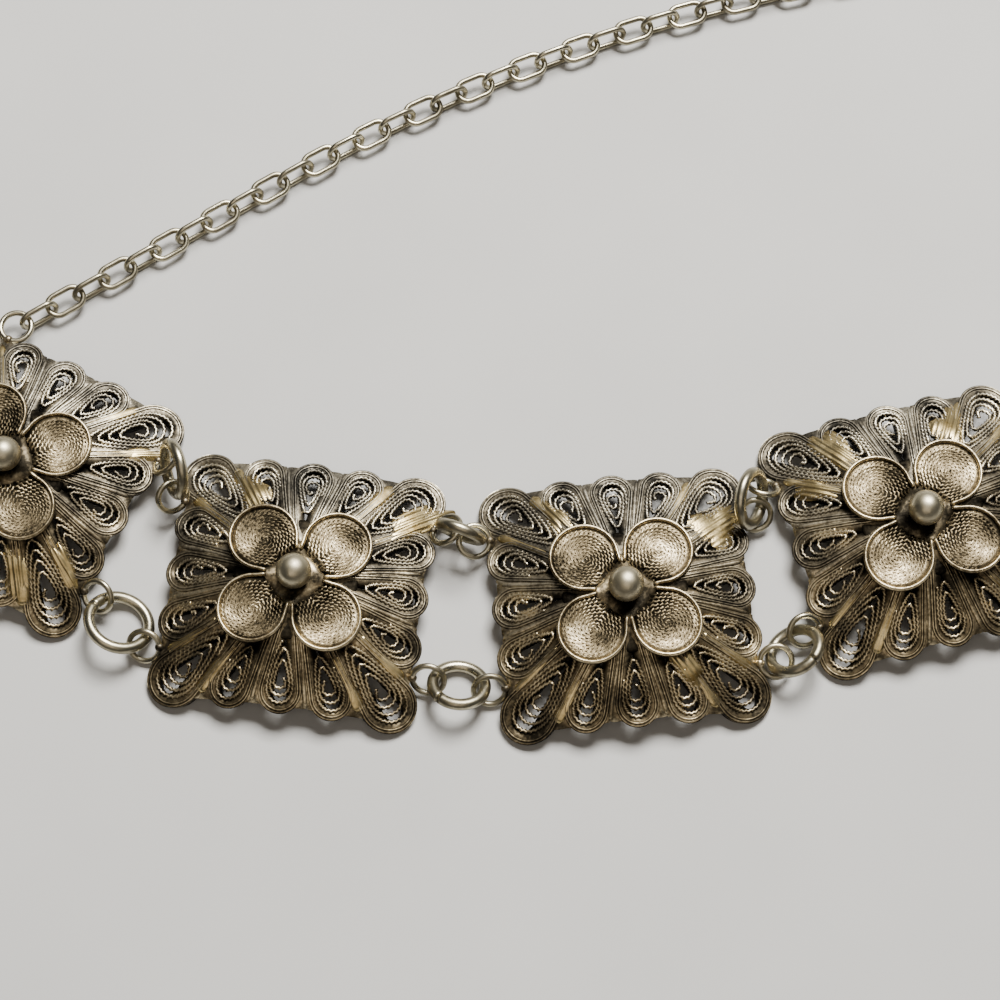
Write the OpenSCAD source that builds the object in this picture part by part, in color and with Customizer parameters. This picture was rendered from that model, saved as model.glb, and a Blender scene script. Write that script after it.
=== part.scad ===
// Silver filigree panel bracelet, lying open and face up, with its safety chain done up.
// The row of panels curves round the wearer's hollow, and the chain closes the loop behind it.
// The X axis runs from end to end of the open bracelet, Z is up, and the feet stand at Z = 0.

/* [Plate of a panel] */
// Width of a panel across two opposite sides
panel_w = 19.5; // [19.2:0.1:20]
// Length of a panel from corner tip to corner tip
panel_diagonal = 26.4; // [26:0.1:27]
// Radius of the rounded tip of the middle petal of a side
middle_tip_r = 1.6; // [1.5:0.01:1.7]
// Radius of the rounded tip of the petals beside it
second_tip_r = 1.6; // [1.5:0.01:1.7]
// Direction of those petals, in degrees from the middle one
second_way = 24.5; // [23.5:0.1:25]
// Radius of the rounded tip of a corner petal
corner_tip_r = 2.1; // [1.9:0.05:2.3]
// Depth of the notches between the side petals
notch_depth = 0.55; // [0.45:0.05:0.7]
// Height of the openwork, from its underside to its top
plate_t = 0.85; // [0.7:0.05:1]
// Height of the top of the dome above the floor
dome_h = 4.35; // [4.1:0.05:4.6]
// Radius of the round crown of the dome
crown_r = 16.9; // [16.5:0.1:17.5]
// Distance from the middle at which the crown turns into straight flared sides
crown_edge = 6; // [5.5:0.1:6.5]

/* [Gaps in the plate] */
// Width of the gap in a side petal
side_gap_w = 1.5; // [1.2:0.05:1.6]
// Width of the gap in a corner petal
corner_gap_w = 2.2; // [1.6:0.05:2.4]
// Distance from the middle of the panel to the inner point of the side gaps
side_gap_start = 4.7; // [4.4:0.1:5]
// Distance from the middle of the panel to the inner point of the corner gaps
corner_gap_start = 6.6; // [6.3:0.1:7]

/* [Flower] */
// Distance from the middle of the panel to the middle of a flower petal
flower_d = 3.85; // [3.7:0.05:4]
// Radius of a flower petal
flower_r = 2.6; // [2.5:0.05:2.7]
// Thickness of a flower petal at its rim
flower_t = 0.6; // [0.5:0.05:0.7]
// Height of the top of the rims, at the middle of the panel
flower_h = 4.7; // [4.65:0.05:4.85]
// Fall of a flower petal towards its tip, in degrees
flower_fall = 4; // [2:0.5:4.5]
// Depth of the dish inside a flower petal
dish_depth = 0.35; // [0.2:0.05:0.4]
// Width of the rim round the dish
dish_rim = 0.25; // [0.2:0.05:0.4]
// Diameter of the ball in the middle of the flower
ball_d = 2.6; // [2.4:0.1:2.8]
// Height of the middle of the ball
ball_h = 5.5; // [5.35:0.05:5.7]

/* [Rings] */
// Mean radius of a ring soldered to a panel
ring_r = 1.17; // [1.15:0.01:1.19]
// Wire of a ring soldered to a panel
ring_wire = 0.45; // [0.4:0.01:0.46]
// Distance of the soldered rings from the middle of their side
ring_y = 5.7; // [5.65:0.01:5.75]
// Height at which the rings are soldered
ring_h = 1.35; // [1.3:0.01:1.4]
// Wire of a jump ring
jump_wire = 0.86; // [0.8:0.01:0.88]

/* [Safety chain] */
// Length of a chain link
link_l = 3.35; // [3.32:0.01:3.4]
// Width of a chain link
link_w = 2.1; // [2:0.01:2.2]
// Wire of a chain link
link_wire = 0.45; // [0.4:0.01:0.46]
// Longest step from one link to the next
link_step = 2.29; // [2.2:0.01:2.3]
// Angle at which the chain leaves the first panel, to the line between its ends
chain_start = 18.5; // [16:0.5:20]
// Share of its way that it takes to bend from there to straight along the bracelet
chain_bend = 0.33; // [0.3:0.01:0.45]
// Room between the wire of an end link and that of the soldered ring that it hangs in
link_play = 0.2; // [0.16:0.01:0.24]
// Lean of every other link, which lies almost flat
flat_lean = 12; // [8:1:16]
// Lean of the links between them, which stand almost upright
upright_lean = 80; // [75:1:84]

/* [Clasp] */
// Width of the clasp's bar
clasp_w = 4; // [3.8:0.1:4.4]
// Length of the clasp's bar
clasp_l = 15; // [14.5:0.1:16]
// Thickness of the clasp's bar
clasp_t = 1.6; // [1.5:0.05:1.8]
// Distance from the solder of a panel's ring to that of the clasp's ring
clasp_gap = 6.95; // [6.9:0.01:7]
// Mean radius of a clasp's hook
hook_r = 1.4; // [1.3:0.05:1.5]
// Wire of a clasp's hook
hook_wire = 0.8; // [0.7:0.05:0.9]

/* [Hidden] */
$fn = 48;
PANELS = 7;
PETALS = 16;
PETAL_STEP = 360 / PETALS;
TEARDROP_SHOULDER = 0.92;
silver = "#8c8474";

// How each panel lies to the one before it: turn in degrees, distance along their mean
// direction, and sideways slide. The first three joints are those seen, the rest are plain.
TURN = 0;
ALONG = 1;
SLIDE = 2;
JOINTS = [
    [19, 23.2, -2.5],
    [13, 24, -0.7],
    [8.5, 22.6, 1.9],
    [10, 24.5, 0],
    [10, 24.5, 0],
    [10, 24.5, 0]
];

// Soldered rings of each joint's upper and lower end, on the panel before the joint and on
// the panel after it. Pitch lowers the outer edge of a ring, and roll turns it about its own
// outward line.
PITCH_BEFORE = 0;
ROLL_BEFORE = 1;
PITCH_AFTER = 2;
ROLL_AFTER = 3;
UPPER_RINGS = [
    [-47, -6, -43, 30],
    [-32, -12, -10, 17],
    [-1, 36, -26, -36],
    [-22, 10, -22, 10],
    [-22, 10, -22, 10],
    [-22, 10, -22, 10]
];
LOWER_RINGS = [
    [-11, 41, 10, 40],
    [-2, 50, 5, 46],
    [-2, 28, -6, 37],
    [0, 45, 0, 45],
    [0, 45, 0, 45],
    [0, 45, 0, 45]
];

// Jump rings of each joint's upper and lower end, in the joint's own frame: the place of the
// middle, the lean from lying flat, the swing in plan, and the mean radius.
LEAN = 3;
SWING = 4;
RADIUS = 5;
UPPER_JUMPS = [
    [0.29, 4.38, 3.38, 108.1, 125.9, 1.92],
    [-0.06, 4.48, 2.61, 99.3, -20.5, 1.6],
    [-0.63, 4.8, 2.78, 115.3, -118.2, 1.92],
    [0, 4.7, 2.6, 88, 0, 1.92],
    [0, 4.7, 2.6, 88, 0, 1.92],
    [0, 4.7, 2.6, 88, 0, 1.92]
];
LOWER_JUMPS = [
    [-0.07, -7.51, 1.47, -26.8, -33, 2.25],
    [0, -6.89, 1.37, -28, -10.4, 1.92],
    [0.2, -6.94, 1.72, -36.6, 40.8, 1.92],
    [0, -6.6, 1.35, -22, 0, 1.92],
    [0, -6.6, 1.35, -22, 0, 1.92],
    [0, -6.6, 1.35, -22, 0, 1.92]
];

// Place of the whole row, so that the middle of its box is over the origin
row_x = -72.42;
row_y = 1.88;

// Turns a flat vector by an angle
function turned(v, a) = [v.x * cos(a) - v.y * sin(a), v.x * sin(a) + v.y * cos(a)];

// Place and direction of a panel as seen from the first one: [x, y, angle]
function walk(k) =
    k == 1 ? [0, 0, 0] :
    let (before = walk(k - 1), joint = JOINTS[k - 2], mean = before.z + joint[TURN] / 2,
        step = turned([joint[ALONG], joint[SLIDE]], mean))
    [before.x + step.x, before.y + step.y, before.z + joint[TURN]];

// The row is turned until its last panel lies straight along X from the first
row_turn = -atan2(walk(PANELS).y, walk(PANELS).x);
function panel_pose(k) =
    let (seen = walk(k), v = turned([seen.x, seen.y], row_turn))
    [row_x + v.x, row_y + v.y, seen.z + row_turn];

// Place and direction of the joint after a panel, halfway to the next one
function joint_pose(k) =
    let (a = panel_pose(k), b = panel_pose(k + 1))
    [(a.x + b.x) / 2, (a.y + b.y) / 2, (a.z + b.z) / 2];

// Height of the top of the plate at a distance from its middle
crown_drop = crown_r - sqrt(crown_r * crown_r - crown_edge * crown_edge);
flare_slope = crown_edge / (crown_r - crown_drop);
function dome_top(r) =
    r < crown_edge ? dome_h - crown_r + sqrt(crown_r * crown_r - r * r) :
    dome_h - crown_drop - (r - crown_edge) * flare_slope;
// Distance at which the underside comes down to the floor, and the corners stand on flat feet
foot_r = crown_edge + (dome_h - crown_drop - plate_t) / flare_slope;
// Distances at which the section of the plate is drawn, straight from each to the next
dome_steps = [0, 2, 4, crown_edge, foot_r, panel_diagonal / 2 + 0.5];
// Blob of solder under each soldered ring
solder_r = 0.75 * ring_wire;

// Petal 0 is the middle one of the right side, and every fourth petal is a middle one
function is_corner(k) = k % 4 == 2;
function is_middle(k) = k % 4 == 0;
function tip_r(k) = is_corner(k) ? corner_tip_r : is_middle(k) ? middle_tip_r : second_tip_r;
// Distance from the middle of the panel to the centre of a petal's rounded tip
function tip_d(k) =
    is_corner(k) ? panel_diagonal / 2 - corner_tip_r :
    is_middle(k) ? panel_w / 2 - middle_tip_r :
    (panel_w / 2 - second_tip_r) / cos(second_way);
// Direction of a petal
function petal_way(k) = is_corner(k) || is_middle(k) ? k * PETAL_STEP :
    90 * round(k / 4) + (k % 4 == 1 ? second_way : -second_way);

// Distance from the middle of a panel to where a ring is soldered into a notch
notch_x = panel_w / 2 - notch_depth + ring_wire / 4;

// The clasp lies straight on from the last panel
clasp_x = notch_x + clasp_gap + ring_wire / 4 + clasp_w / 2;
// How far round each of its hooks is bent
hook_turn = 250;
// The clasp's jump rings, which lie as the lower ones of a plain joint
clasp_lean = -22;
clasp_jump_y = 5.7;
clasp_jump_h = 1.35;
clasp_roll = 45;
clasp_jump_r = 1.92;

// The chain runs from the ring on the far edge of the first panel to that of the last one
function chain_end(k, side) =
    let (pose = panel_pose(k), v = turned([-side * ring_y, notch_x + ring_r], pose.z))
    [pose.x + v.x, pose.y + v.y];
chain_line = chain_end(PANELS, -1) - chain_end(1, 1);
chain_dir = atan2(chain_line.y, chain_line.x);
// Distance from the middle of an end ring to the middle of the link in it
link_reach = ring_r - (ring_wire + link_wire) / 2 - link_play + (link_l - link_wire) / 2;
chain_span = norm(chain_line) - 2 * link_reach * cos(chain_start);
// Direction of the chain at a share of its way: straight from each end, and bent in the middle
function chain_heading(share) = chain_dir + chain_start * max(-1, min(1, (0.5 - share) / chain_bend));
function total(list, i = 0) = i == len(list) ? 0 : list[i] + total(list, i + 1);
// How much longer its way is than the straight line, measured over this many steps
WAY_STEPS = 50;
way_steps = [for (i = [0:WAY_STEPS - 1]) cos(chain_heading((i + 0.5) / WAY_STEPS) - chain_dir)];
chain_slack = WAY_STEPS / total(way_steps);
LINKS = 2 * ceil(chain_span * chain_slack / link_step / 2) + 1;
step_headings = [for (i = [0:LINKS - 2]) chain_heading((i + 0.5) / (LINKS - 1))];
even_step = chain_span / total([for (h = step_headings) cos(h - chain_dir)]);
first_link = chain_end(1, 1) + link_reach * [cos(chain_dir + chain_start), sin(chain_dir + chain_start)];
link_places = [
    for (i = 0, p = first_link; i < LINKS;
        p = i < LINKS - 1 ? p + even_step * [cos(step_headings[i]), sin(step_headings[i])] : p,
        i = i + 1) p
];
// An upright link stands on the floor, and a flat one hangs a little below its middle
upright_link_h = (link_w - link_wire) / 2 * sin(upright_lean) + link_wire / 2;
flat_link_h = upright_link_h - 0.05;
// The last two links at each end are lifted towards their ring
end_lift = 0.12;

module at_pose(pose) {
    translate([pose.x, pose.y, 0])
        rotate([0, 0, pose.z])
            children();
}

module torus(mean_r, wire) {
    rotate_extrude()
        translate([mean_r, 0])
            circle(d = wire);
}

// A round end with a point towards the origin, a little narrower where the two meet
module teardrop(d, r, start) {
    shoulder = TEARDROP_SHOULDER * r;
    translate([d, 0])
        circle(r);
    polygon([[start, 0], [d, -shoulder], [d, shoulder]]);
}

// Outline of a panel: petals round a square web
module scallops() {
    square(panel_w - 2 * notch_depth, center = true);
    for (k = [0:PETALS - 1])
        rotate(petal_way(k))
            translate([tip_d(k), 0])
                circle(tip_r(k));
}

module petal_gaps() {
    for (k = [0:PETALS - 1]) {
        gap_w = is_corner(k) ? corner_gap_w : side_gap_w;
        start = is_corner(k) ? corner_gap_start : side_gap_start;
        rotate(petal_way(k))
            teardrop(tip_d(k), gap_w / 2, start);
    }
}

module plate() {
    last = len(dome_steps) - 1;
    top = [for (r = dome_steps) [r, dome_top(r)]];
    underside = [for (i = [last:-1:0]) [dome_steps[i], max(0, dome_top(dome_steps[i]) - plate_t)]];
    intersection() {
        rotate_extrude()
            polygon(concat(top, underside));
        linear_extrude(dome_h + 1)
            difference() {
                scallops();
                petal_gaps();
            }
    }
}

module flower_petal() {
    dish_r = flower_r - dish_rim;
    dish_ball = (dish_r * dish_r + dish_depth * dish_depth) / (2 * dish_depth);
    translate([0, 0, flower_h])
        rotate([0, flower_fall, 0])
            difference() {
                translate([0, 0, -flower_t])
                    linear_extrude(flower_t)
                        teardrop(flower_d, flower_r, 0);
                translate([flower_d, 0, dish_ball - dish_depth])
                    sphere(dish_ball);
            }
}

// A ring soldered to an edge on the right, with the solder that holds it
module soldered_ring(edge_x, end, pitch, roll) {
    translate([edge_x, end * ring_y, ring_h]) {
        sphere(solder_r);
        rotate([0, pitch, 0])
            rotate([roll, 0, 0])
                translate([ring_r, 0, 0])
                    torus(ring_r, ring_wire);
    }
}

// One panel in its own frame, soldered up with its rings
module panel(k) {
    plate();
    for (corner = [45:90:315])
        rotate(corner)
            flower_petal();
    translate([0, 0, ball_h])
        sphere(d = ball_d);
    for (end = [1, -1]) {
        table = end > 0 ? UPPER_RINGS : LOWER_RINGS;
        right = k == PANELS ? [0, -end * clasp_roll] : [table[k - 1][PITCH_BEFORE], table[k - 1][ROLL_BEFORE]];
        left = k == 1 ? [0, 0] : [table[k - 2][PITCH_AFTER], table[k - 2][ROLL_AFTER]];
        soldered_ring(notch_x, end, right.x, right.y);
        mirror([1, 0, 0])
            soldered_ring(notch_x, end, left.x, left.y);
    }
    if (k == 1)
        rotate(90)
            soldered_ring(notch_x, 1, 0, 0);
    if (k == PANELS)
        rotate(90)
            soldered_ring(notch_x, -1, 0, 0);
}

module placed_panel(k) {
    color(silver)
        at_pose(panel_pose(k))
            panel(k);
}

module jump(row) {
    translate([row.x, row.y, row.z])
        rotate([row[LEAN], 0, row[SWING]])
            torus(row[RADIUS], jump_wire);
}

module jump_upper(k) {
    color(silver)
        at_pose(joint_pose(k))
            jump(UPPER_JUMPS[k - 1]);
}

module jump_lower(k) {
    color(silver)
        at_pose(joint_pose(k))
            jump(LOWER_JUMPS[k - 1]);
}

// Outline of the clasp's bar, with round corners
module bar_outline() {
    corner = clasp_t / 2;
    square([clasp_w - 2 * corner, clasp_l], center = true);
    square([clasp_w, clasp_l - 2 * corner], center = true);
    for (x = [-1, 1], y = [-1, 1])
        translate([x * (clasp_w / 2 - corner), y * (clasp_l / 2 - corner)])
            circle(corner);
}

module clasp() {
    color(silver)
        at_pose(panel_pose(PANELS))
            translate([clasp_x, 0, 0]) {
                linear_extrude(clasp_t)
                    bar_outline();
                for (side = [0, 1])
                    mirror([0, side, 0]) {
                        mirror([1, 0, 0])
                            soldered_ring(clasp_w / 2 + ring_wire / 4, -1, 0, clasp_roll);
                        translate([clasp_w / 2 + hook_r, -ring_y, clasp_t / 2])
                            rotate([0, 0, 180])
                                rotate_extrude(angle = hook_turn)
                                    translate([hook_r, 0])
                                        circle(d = hook_wire);
                    }
            }
}

// The jump ring between the last panel and the clasp, at its upper (1) or lower (-1) end
module jump_clasp(end) {
    color(silver)
        at_pose(panel_pose(PANELS))
            translate([notch_x + clasp_gap / 2, end * clasp_jump_y, clasp_jump_h])
                rotate([-end * clasp_lean, 0, 0])
                    torus(clasp_jump_r, jump_wire);
}

module chain_link() {
    half_w = (link_w - link_wire) / 2;
    straight = link_l - link_w;
    for (side = [-1, 1]) {
        translate([side * straight / 2, 0, 0])
            rotate([0, 0, -90 * side])
                rotate_extrude(angle = 180)
                    translate([half_w, 0])
                        circle(d = link_wire);
        translate([0, side * half_w, 0])
            rotate([0, 90, 0])
                cylinder(h = straight, d = link_wire, center = true);
    }
}

module safety_chain() {
    color(silver)
        for (i = [0:LINKS - 1]) {
            upright = i % 2 == 0;
            lift = min(i, LINKS - 1 - i) < 2 ? end_lift : 0;
            height = (upright ? upright_link_h : flat_link_h) + lift;
            place = link_places[i];
            translate([place.x, place.y, height])
                rotate([0, 0, chain_heading(i / (LINKS - 1))])
                    rotate([upright ? upright_lean : flat_lean, 0, 0])
                        chain_link();
        }
}

placed_panel(1);  // panel_1
placed_panel(2);  // panel_2
placed_panel(3);  // panel_3
placed_panel(4);  // panel_4
placed_panel(5);  // panel_5
placed_panel(6);  // panel_6
placed_panel(7);  // panel_7
jump_upper(1);  // jump_upper_1
jump_upper(2);  // jump_upper_2
jump_upper(3);  // jump_upper_3
jump_upper(4);  // jump_upper_4
jump_upper(5);  // jump_upper_5
jump_upper(6);  // jump_upper_6
jump_lower(1);  // jump_lower_1
jump_lower(2);  // jump_lower_2
jump_lower(3);  // jump_lower_3
jump_lower(4);  // jump_lower_4
jump_lower(5);  // jump_lower_5
jump_lower(6);  // jump_lower_6
clasp();
jump_clasp(1);  // jump_clasp_upper
jump_clasp(-1);  // jump_clasp_lower
safety_chain();
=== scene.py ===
# %% [markdown]
# # A silver filigree panel bracelet
# Filigree is openwork made of thin wire. A silversmith twists two wires into a rope, bends the rope
# into rows and scrolls inside a frame of plainer wire, and floods the joints with solder.
# A CAD model has already fixed the sizes, so this notebook only dresses it. Every panel is redrawn
# wire by wire, because what makes filigree look right is that light falls through it and catches on
# each turn of the rope. A flat plate with a bump texture would look right from one side only.

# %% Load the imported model
import math

import bpy
import numpy as np
from mathutils import Matrix, Vector


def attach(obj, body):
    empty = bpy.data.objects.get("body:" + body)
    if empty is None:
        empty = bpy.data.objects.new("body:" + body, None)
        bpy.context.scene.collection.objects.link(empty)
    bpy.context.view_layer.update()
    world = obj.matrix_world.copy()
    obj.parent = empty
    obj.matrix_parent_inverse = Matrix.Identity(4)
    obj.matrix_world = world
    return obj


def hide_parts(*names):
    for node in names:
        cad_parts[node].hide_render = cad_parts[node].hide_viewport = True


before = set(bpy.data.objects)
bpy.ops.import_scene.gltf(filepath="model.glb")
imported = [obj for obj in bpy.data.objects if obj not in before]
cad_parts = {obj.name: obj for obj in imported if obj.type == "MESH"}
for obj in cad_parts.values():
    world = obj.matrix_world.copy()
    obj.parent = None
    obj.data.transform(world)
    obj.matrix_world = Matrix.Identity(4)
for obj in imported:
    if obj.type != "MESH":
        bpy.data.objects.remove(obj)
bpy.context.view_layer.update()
MM = 0.001

# %% [markdown]
# ## Where each panel lies
# The bracelet lies open in a gentle curve. Each panel is turned and shifted from the one before it
# as far as its two jump rings let it. The same short table as in the CAD model gives all the places,
# so that the new pieces need no fitting by eye.

# %% Walk along the row of panels
# For each joint: how far the next panel is turned, how far on it lies and how far it has slid aside.
JOINTS = [(19, 23.2, -2.5), (13, 24, -0.7), (8.5, 22.6, 1.9)] + [(10, 24.5, 0)] * 3
ROW_START = np.array([-72.42, 1.88])


def turned(v, degrees):
    """A flat vector turned by an angle."""
    c, s = math.cos(math.radians(degrees)), math.sin(math.radians(degrees))
    return np.array([v[0] * c - v[1] * s, v[0] * s + v[1] * c])


walk = [(np.zeros(2), 0.0)]
for turn, along, slide in JOINTS:
    place, angle = walk[-1]
    walk.append((place + turned((along, slide), angle + turn / 2), angle + turn))
row_turn = -math.degrees(math.atan2(walk[-1][0][1], walk[-1][0][0]))
PANEL_POSES = [(ROW_START + turned(place, row_turn), angle + row_turn) for place, angle in walk]
JOINT_POSES = [((a[0] + b[0]) / 2, (a[1] + b[1]) / 2) for a, b in zip(PANEL_POSES, PANEL_POSES[1:])]
for k, (place, angle) in enumerate(PANEL_POSES):
    print(f"panel {k + 1} at {place.round(2)} mm, turned {angle:.1f} degrees")

# %% [markdown]
# ## A bench for wirework
# Every wire here is a line with a small profile swept along it. The profile of a drawn wire is round.
# Two wires twisted together have a long and a short way across, so their profile is a lozenge that
# turns a little at every step, and its ridges wind round like those of a rope. That is real relief,
# so it also shows in an exported model. The points carry two numbers for the finish: wear is 1 on
# a ridge that sleeves have rubbed bright and 0 deep between the wires, and warmth is how far
# the tarnish has gone from grey to yellow. On the plate's petals warmth also holds painted shading:
# the tone is warmer towards the panel's near edge and cooler towards its far edge, as light falls
# there.

# %% Gather soldered wires into one mesh
class Metalwork:
    """Gathers the wires, beads and sheets that are soldered into one piece."""

    def __init__(self):
        self.points, self.quads, self.wear, self.warmth, self.finish = [], [], [], [], []
        self.count = 0

    def add(self, points, quads, wear, warmth, finish=0):
        self.points.append(points)
        self.quads.append(quads + self.count)
        self.wear.append(np.broadcast_to(wear, len(points)))
        self.warmth.append(np.broadcast_to(warmth, len(points)))
        self.finish.append(np.full(len(quads), finish))
        self.count += len(points)

    def piece(self, name, node, slot, place, angle, materials):
        """Makes the object, laid at its place in the row, in place of its CAD node."""
        points = np.concatenate(self.points)
        points[:, :2] = np.column_stack(turned(points[:, :2].T, angle)) + place
        points[:, 2] = np.maximum(points[:, 2], 0)
        quads = np.concatenate(self.quads)
        mesh = bpy.data.meshes.new(name)
        mesh.from_pydata(points * MM, [], quads)
        for key, values in (("wear", self.wear), ("warmth", self.warmth)):
            layer = mesh.attributes.new(key, "FLOAT", "POINT")
            layer.data.foreach_set("value", np.concatenate(values).astype(np.float32))
        for material in materials:
            mesh.materials.append(material)
        mesh.polygons.foreach_set("material_index", np.concatenate(self.finish).astype(np.int32))
        mesh.polygons.foreach_set("use_smooth", np.ones(len(quads), bool))
        mesh.update()
        thing = bpy.data.objects.new(name, mesh)
        bpy.context.scene.collection.objects.link(thing)
        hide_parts(node)
        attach(thing, "root")
        return 2 * len(quads)


# %% Lines and sweeps
def evenly(points, step):
    """The same line with its points a step apart."""
    gone = np.concatenate([[0], np.cumsum(np.linalg.norm(np.diff(points, axis=0), axis=1))])
    count = max(3, round(gone[-1] / step) + 1)
    at = np.linspace(0, gone[-1], count)
    return np.column_stack([np.interp(at, gone, axis) for axis in points.T])


def skin(rings, steps, closed=False):
    """The quads between rings of points that follow one another, each ring with as many steps."""
    i = np.arange(rings if closed else rings - 1)[:, None]
    j = np.arange(steps)[None]
    here, there, on = i * steps, (i + 1) % rings * steps, (j + 1) % steps
    return np.stack([here + j, there + j, there + on, here + on], axis=-1).reshape(-1, 4)


def lid(steps):
    """The quads that close off a ring with this many points."""
    k = np.arange(steps // 2 - 1)
    return np.column_stack([k, k + 1, steps - 2 - k, steps - 1 - k])


def grid(n):
    """The quads of a sheet of n by n points."""
    corner = np.arange(n - 1)[:, None] * n + np.arange(n - 1)[None]
    return np.stack([corner, corner + n, corner + n + 1, corner + 1], axis=-1).reshape(-1, 4)


def sweep(points, ups, profile, twist=0, closed=False, scale=1.0):
    """Carries a profile of (side, up) places along a line, twisted by some degrees at each step."""
    n, m = len(points), len(profile)
    if closed:
        ahead = np.roll(points, -1, axis=0) - np.roll(points, 1, axis=0)
    else:
        ahead = np.gradient(points, axis=0)
    ahead = ahead / np.linalg.norm(ahead, axis=1)[:, None]
    side = np.cross(ahead, ups)
    side /= np.linalg.norm(side, axis=1)[:, None]
    up = np.cross(side, ahead)
    turn = np.radians(twist) * np.arange(n)[:, None]
    a = profile[:, 0] * np.cos(turn) - profile[:, 1] * np.sin(turn)
    b = profile[:, 0] * np.sin(turn) + profile[:, 1] * np.cos(turn)
    a, b = a * np.reshape(scale, (-1, 1)), b * np.reshape(scale, (-1, 1))
    verts = points[:, None] + side[:, None] * a[..., None] + up[:, None] * b[..., None]
    quads = skin(n, m, closed)
    if not closed:
        quads = np.vstack([quads, lid(m), lid(m)[:, ::-1] + (n - 1) * m])
    return verts.reshape(-1, 3), quads, b.reshape(-1)


def smooth(x):
    """Rises from 0 to 1 with soft ends."""
    return np.clip(x, 0, 1) ** 2 * (3 - 2 * np.clip(x, 0, 1))


def ring_of(count, width, height, phase=0.5):
    """A round or oval profile."""
    t = 2 * np.pi * (np.arange(count) + phase) / count
    return np.column_stack([np.cos(t) * width / 2, np.sin(t) * height / 2])


def bead(centre, radii, count):
    """A ball or flattened blob, from a cube with this many squares to an edge, blown up round."""
    t = np.tan(np.linspace(-np.pi / 4, np.pi / 4, count + 1))
    u, v = np.meshgrid(t, t, indexing="ij")
    one = np.ones_like(u)
    sides = [(u, v, one), (v, u, -one), (v, one, u), (u, -one, v), (one, u, v), (-one, v, u)]
    verts = np.stack([np.stack(side, axis=-1).reshape(-1, 3) for side in sides]).reshape(-1, 3)
    verts /= np.linalg.norm(verts, axis=1)[:, None]
    quads = [grid(count + 1) + k * (count + 1) ** 2 for k in range(len(sides))]
    keep, index = np.unique(verts.round(6), axis=0, return_inverse=True)
    return np.array(centre) + keep * radii, index.reshape(-1)[np.concatenate(quads)]


# %% [markdown]
# ## The domed plate
# Each panel is a square plate pressed into a dome, with sixteen petals that fan out from its middle.
# The crown of the dome is round and the edges run straight down, like a shallow hat. All wires of
# the plate are first drawn flat, and then lifted on to the dome, so that a petal keeps its plan.

# %% Lift a flat drawing on to the dome
# The top's height, the radius of the round crown and how far it reaches, and the plate's thickness.
DOME_H, CROWN_R, CROWN_EDGE, PLATE_T = 4.35, 16.9, 6.0, 0.85
crown_drop = CROWN_R - math.sqrt(CROWN_R**2 - CROWN_EDGE**2)
flare = CROWN_EDGE / (CROWN_R - crown_drop)


def on_dome(flat, sink=0):
    """Places under the top of the dome, and the way that is up there."""
    r = np.maximum(np.hypot(flat[:, 0], flat[:, 1]), 1e-6)
    inner = np.minimum(r, CROWN_EDGE)
    z = DOME_H - CROWN_R + np.sqrt(CROWN_R**2 - inner**2) - (r - inner) * flare
    slope = inner / np.sqrt(CROWN_R**2 - inner**2)
    up = np.column_stack([flat / r[:, None] * slope[:, None], np.ones(len(r))])
    up /= np.linalg.norm(up, axis=1)[:, None]
    return np.column_stack([flat, z]) - up * np.reshape(sink, (-1, 1)), up


# %% [markdown]
# ## A petal of the plate
# A petal is a drop-shaped frame of two plain wires laid side by side, filled by one long twisted
# wire. That wire is coiled round an eye near the tip. Its turns are pressed close along the sides,
# where tarnish and solder close them, and they stand open at the tip and towards the flower. There
# one sees the dark below. Those are the black crescents that give filigree its sparkle. A plain
# spiral would cross the frame, so each turn here reaches as far as the frame is in its direction.

# %% Directions and outlines of the petals
SECOND_WAY = 24.5
# The tip's radius, and how far its centre, the petal's start and the coil's eye are from the middle.
TIP_R = {"middle": 1.6, "second": 1.6, "corner": 2.1}
TIP_D = {"middle": 8.15, "second": 8.15 / math.cos(math.radians(SECOND_WAY)), "corner": 11.1}
START = {"middle": 3.2, "second": 4.2, "corner": 4.4}
EYE = {"middle": 7.4, "second": 8.2, "corner": 10.1}
HALF = {kind: math.asin(TIP_R[kind] / TIP_D[kind]) for kind in TIP_R}
print("half angles of the petals:", {kind: round(math.degrees(half), 1) for kind, half in HALF.items()})
# The opening is a drop too: where its point is, where its round end is centred, and that end's radius.
OPENING = {"middle": (4.0, 8.5, 0.5), "second": (4.9, 9.35, 0.5), "corner": (6.2, 11.7, 0.68)}
# The web between the petals ends this far from the middle, and the frame is this wide.
WEB_X, FRAME_W = 9.2, 0.38
OUT_OF_REACH = 99.0


def kind_of(k):
    """Petal 0 points along +X, every fourth is a middle one, and the corners lie between them."""
    return "middle" if k % 4 == 0 else "corner" if k % 4 == 2 else "second"


def way_of(k):
    """Direction of a petal. The second ones stand a little further from the middle one."""
    return k * 22.5 if k % 2 == 0 else 90 * round(k / 4) + (SECOND_WAY if k % 4 == 1 else -SECOND_WAY)


def valley_after(k):
    """Direction of the valley between a petal and the next one."""
    here, there = HALF[kind_of(k)], HALF[kind_of(k + 1)]
    return (way_of(k) + way_of(k + 1)) / 2 + math.degrees(here - there) / 2


def petal_line(kind, inset):
    """Round a petal at an inset from its edge: out along one side, round the tip, and back."""
    half = HALF[kind]
    t = np.linspace(-math.pi / 2 - half, math.pi / 2 + half, 61)
    cap = (TIP_R[kind] - inset) * np.column_stack([np.cos(t), np.sin(t)]) + [TIP_D[kind], 0]
    inner = max(START[kind], inset / math.sin(half))
    side = (inner * math.sin(half) - inset) / math.cos(half)
    return np.vstack([[inner, -side], cap, [inner, side]])


def spun(flat, degrees):
    """Flat points turned round the middle of the panel."""
    return np.column_stack(turned(flat.T, degrees))


# %% Twisted wire
# The lozenge of two twisted wires, and the height above its middle at which it is fully worn.
ROPE, RIDGE_H = ring_of(4, 0.4, 0.18, 0), 0.19
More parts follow.
